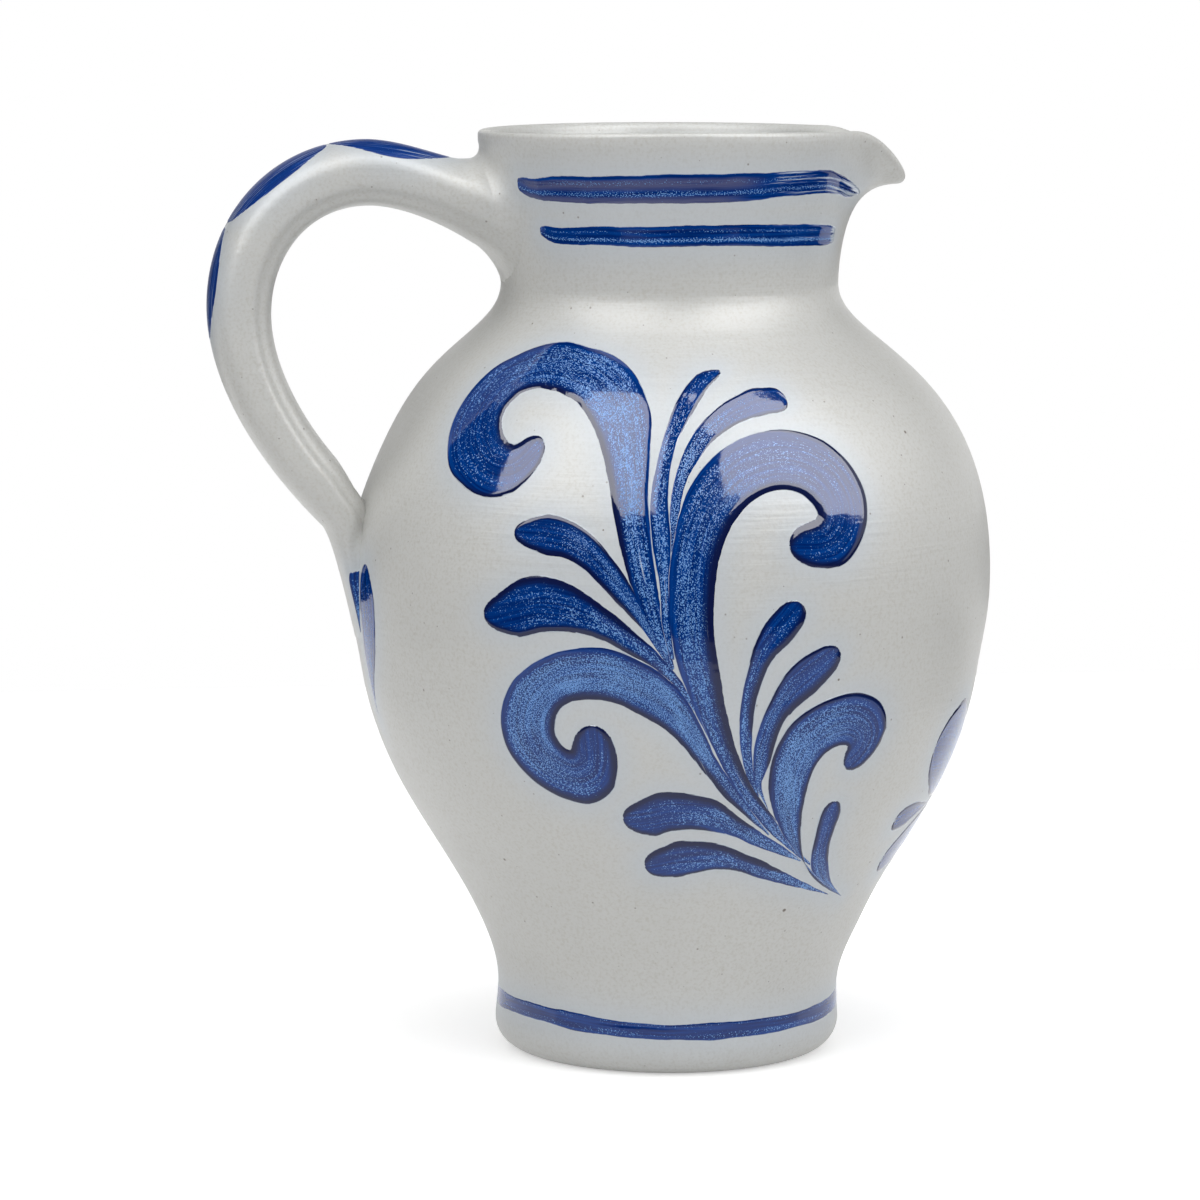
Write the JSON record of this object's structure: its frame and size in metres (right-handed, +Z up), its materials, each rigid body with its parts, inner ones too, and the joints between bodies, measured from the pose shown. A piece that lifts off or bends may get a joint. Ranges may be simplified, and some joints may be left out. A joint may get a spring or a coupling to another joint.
{
  "type": "cider jug",
  "caption": "Bellied grey stoneware jug with a pulled spout, a strap handle and brushed cobalt scrollwork, for storing and pouring drinks at the table.",
  "frame": {"origin": "on the jug's axis, in the flat underside of the foot", "axes": "+Z up along the jug's axis, +X towards the spout, -X towards the handle, -Y towards the painted side in front"},
  "size_m": [0.1874, 0.1546, 0.22],
  "materials": {
    "stoneware": "satin",
    "luting_slip": "matte",
    "cobalt_slip": "gloss"
  },
  "bodies": {
    "root": {"thrown_body": "stoneware", "upper_luting_slip": "luting_slip", "lower_luting_slip": "luting_slip", "pulled_handle": "stoneware", "upper_neck_band": "cobalt_slip", "lower_neck_band": "cobalt_slip", "foot_band": "cobalt_slip", "near_stem_curl": "cobalt_slip", "near_upper_curl": "cobalt_slip", "near_lower_curl": "cobalt_slip", "near_small_curl": "cobalt_slip", "near_first_top_leaf": "cobalt_slip", "near_second_top_leaf": "cobalt_slip", "near_first_left_leaf": "cobalt_slip", "near_second_left_leaf": "cobalt_slip", "near_first_right_leaf": "cobalt_slip", "near_second_right_leaf": "cobalt_slip", "near_first_low_leaf": "cobalt_slip", "near_second_low_leaf": "cobalt_slip", "near_third_low_leaf": "cobalt_slip", "far_stem_curl": "cobalt_slip", "far_upper_curl": "cobalt_slip", "far_lower_curl": "cobalt_slip", "far_small_curl": "cobalt_slip", "far_first_top_leaf": "cobalt_slip", "far_second_top_leaf": "cobalt_slip", "far_first_left_leaf": "cobalt_slip", "far_second_left_leaf": "cobalt_slip", "far_first_right_leaf": "cobalt_slip", "far_second_right_leaf": "cobalt_slip", "far_first_low_leaf": "cobalt_slip", "far_second_low_leaf": "cobalt_slip", "far_third_low_leaf": "cobalt_slip", "near_round_petal": "cobalt_slip", "near_slim_leaf": "cobalt_slip", "near_low_petal": "cobalt_slip", "far_round_petal": "cobalt_slip", "far_slim_leaf": "cobalt_slip", "far_low_petal": "cobalt_slip", "near_tail_leaf": "cobalt_slip", "far_tail_leaf": "cobalt_slip", "crown_leaf": "cobalt_slip", "shoulder_leaf": "cobalt_slip", "side_leaf": "cobalt_slip"}
  },
  "joints": []
}
